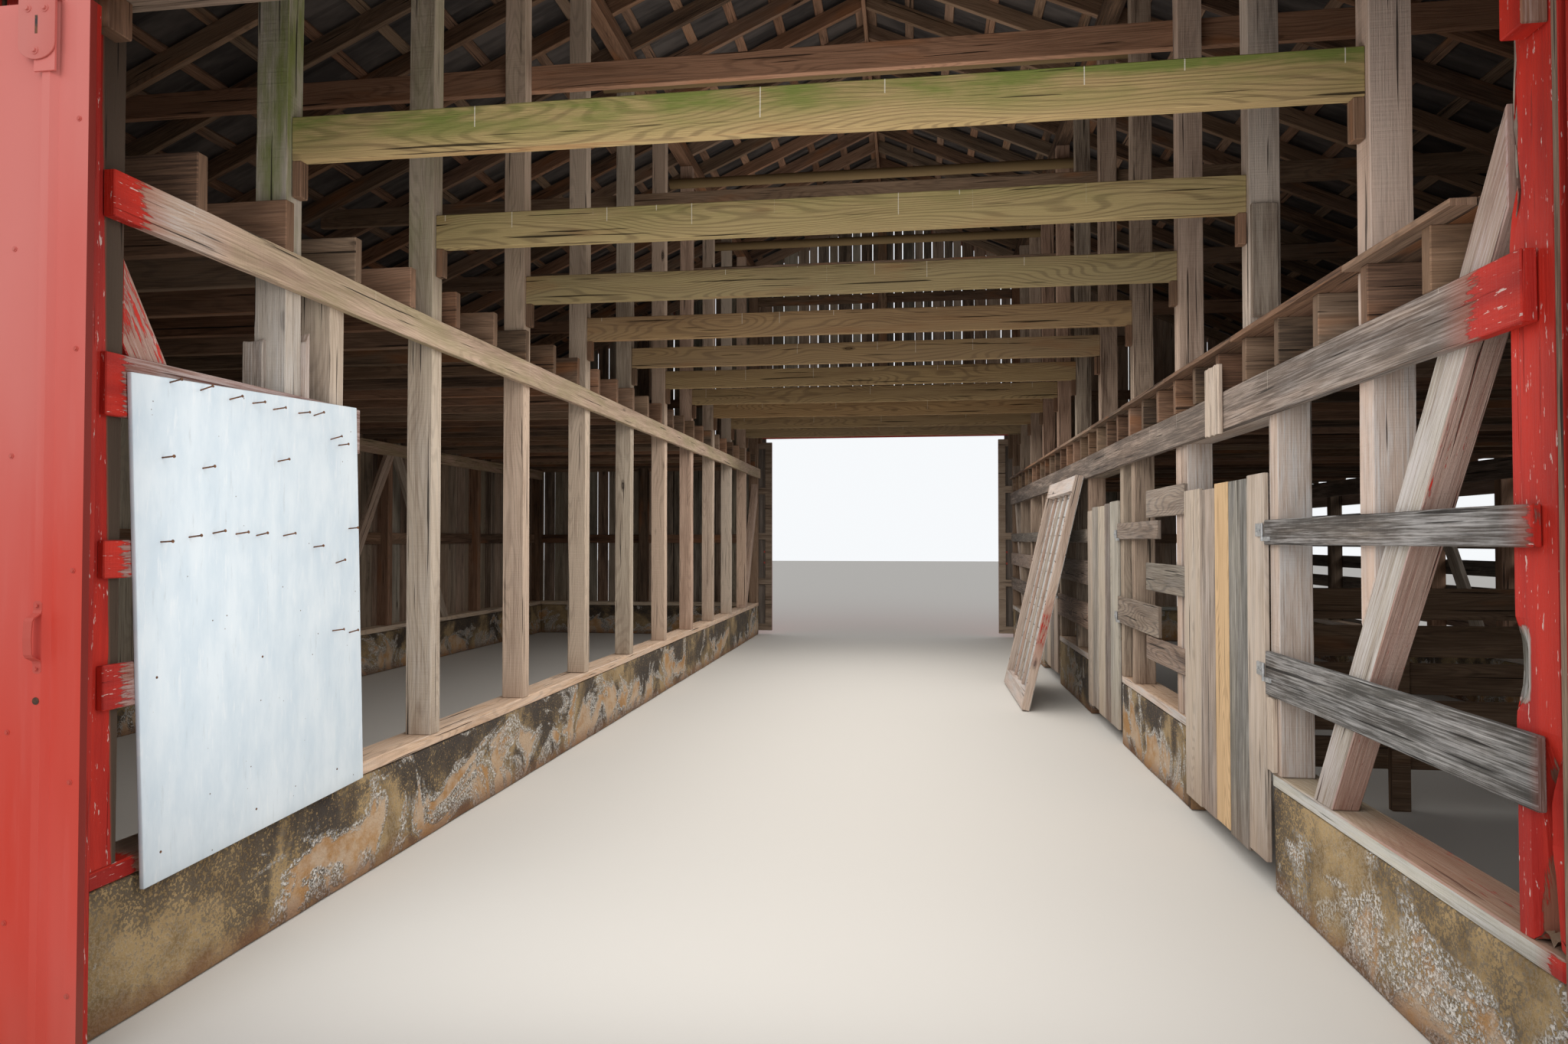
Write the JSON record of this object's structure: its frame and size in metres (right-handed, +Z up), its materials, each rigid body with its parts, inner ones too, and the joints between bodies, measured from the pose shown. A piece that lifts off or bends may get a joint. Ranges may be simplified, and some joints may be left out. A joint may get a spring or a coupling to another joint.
{
  "type": "red barn",
  "caption": "Gabled timber barn on concrete stem walls, with a drive-through aisle between side bays, sliding end doors, hinged stall doors and open lofts.",
  "frame": {"origin": "on the ground under the middle of the barn", "axes": "+X across the barn to the right seen from the near doorway, +Y along the aisle to the far doorway, +Z up"},
  "size_m": [12.5088, 13.14, 7.1185],
  "materials": {
    "concrete": "rough concrete with dark stains and white bloom",
    "sill_timber": "worn sawn timber, dusty",
    "grey_timber": "rough sawn timber, weathered grey",
    "brown_timber": "rough sawn timber, aged brown",
    "beam_timber": "rough sawn timber with green growth",
    "red_timber": "worn red paint on boards",
    "galvanised_steel": "dull zinc coat with some rust",
    "red_steel": "faded red coating",
    "door_timber": "red paint on sawn timber",
    "stall_boards": "weathered grey boards",
    "panel_battens": "battens with traces of red over grey steel",
    "white_board": "white paint, scuffed",
    "hinge_steel": "dark weathered steel"
  },
  "bodies": {
    "barn": {"aisle_stem_walls": "concrete", "side_stem_walls": "concrete", "end_stem_walls": "concrete", "sills": "sill_timber", "aisle_posts": "grey_timber", "ledger_studs": "grey_timber", "ledgers": "grey_timber", "braces": "grey_timber", "aisle_rails": "grey_timber", "wall_slats": "grey_timber", "loft_joists": "brown_timber", "loft_planks": "brown_timber", "tie_beams": "brown_timber", "roof_poles": "brown_timber", "roof_plates": "brown_timber", "outer_posts": "brown_timber", "girts": "brown_timber", "ridge_board": "brown_timber", "rafters": "brown_timber", "roof_laths": "brown_timber", "stall_partition": "brown_timber", "cross_beams": "beam_timber", "beam_cleats": "beam_timber", "doorway_posts": "red_timber", "doorway_headers": "red_timber", "gable_sides": "red_timber", "gable_tops": "red_timber", "side_siding": "red_timber", "roof_sheets": "galvanised_steel", "ridge_cap": "galvanised_steel", "door_tracks": "red_steel", "leaning_panel": "panel_battens", "notice_board": "white_board", "stall_hinge_pins": "hinge_steel"},
    "near_left_leaf": {"near_left_door": "red_steel", "near_left_door_frame": "door_timber"},
    "near_right_leaf": {"near_right_door": "red_steel", "near_right_door_frame": "door_timber"},
    "far_left_leaf": {"far_left_door": "red_steel", "far_left_door_frame": "door_timber"},
    "far_right_leaf": {"far_right_door": "red_steel", "far_right_door_frame": "door_timber"},
    "stall_leaf_1": {"stall_door_1": "stall_boards"},
    "stall_leaf_2": {"stall_door_2": "stall_boards"},
    "stall_leaf_3": {"stall_door_3": "stall_boards"}
  },
  "joints": [
    {"name": "near_left_slide", "type": "slide", "parent": "barn", "child": "near_left_leaf", "axis": [1, 0, 0], "range_m": [-0.095, 1.935]},
    {"name": "near_right_slide", "type": "slide", "parent": "barn", "child": "near_right_leaf", "axis": [-1, 0, 0], "range_m": [0, 2.03]},
    {"name": "far_left_slide", "type": "slide", "parent": "barn", "child": "far_left_leaf", "axis": [1, 0, 0], "range_m": [-0.21, 1.82]},
    {"name": "far_right_slide", "type": "slide", "parent": "barn", "child": "far_right_leaf", "axis": [-1, 0, 0], "range_m": [-0.21, 1.82]},
    {"name": "stall_hinge_1", "type": "hinge", "parent": "barn", "child": "stall_leaf_1", "pos_m": [2.008, -4.451, 0.965], "axis": [0, 0, 1], "range_deg": [0, 110]},
    {"name": "stall_hinge_2", "type": "hinge", "parent": "barn", "child": "stall_leaf_2", "pos_m": [2.008, -1.451, 0.965], "axis": [0, 0, 1], "range_deg": [0, 110]},
    {"name": "stall_hinge_3", "type": "hinge", "parent": "barn", "child": "stall_leaf_3", "pos_m": [2.008, 1.549, 0.965], "axis": [0, 0, 1], "range_deg": [0, 90]}
  ]
}
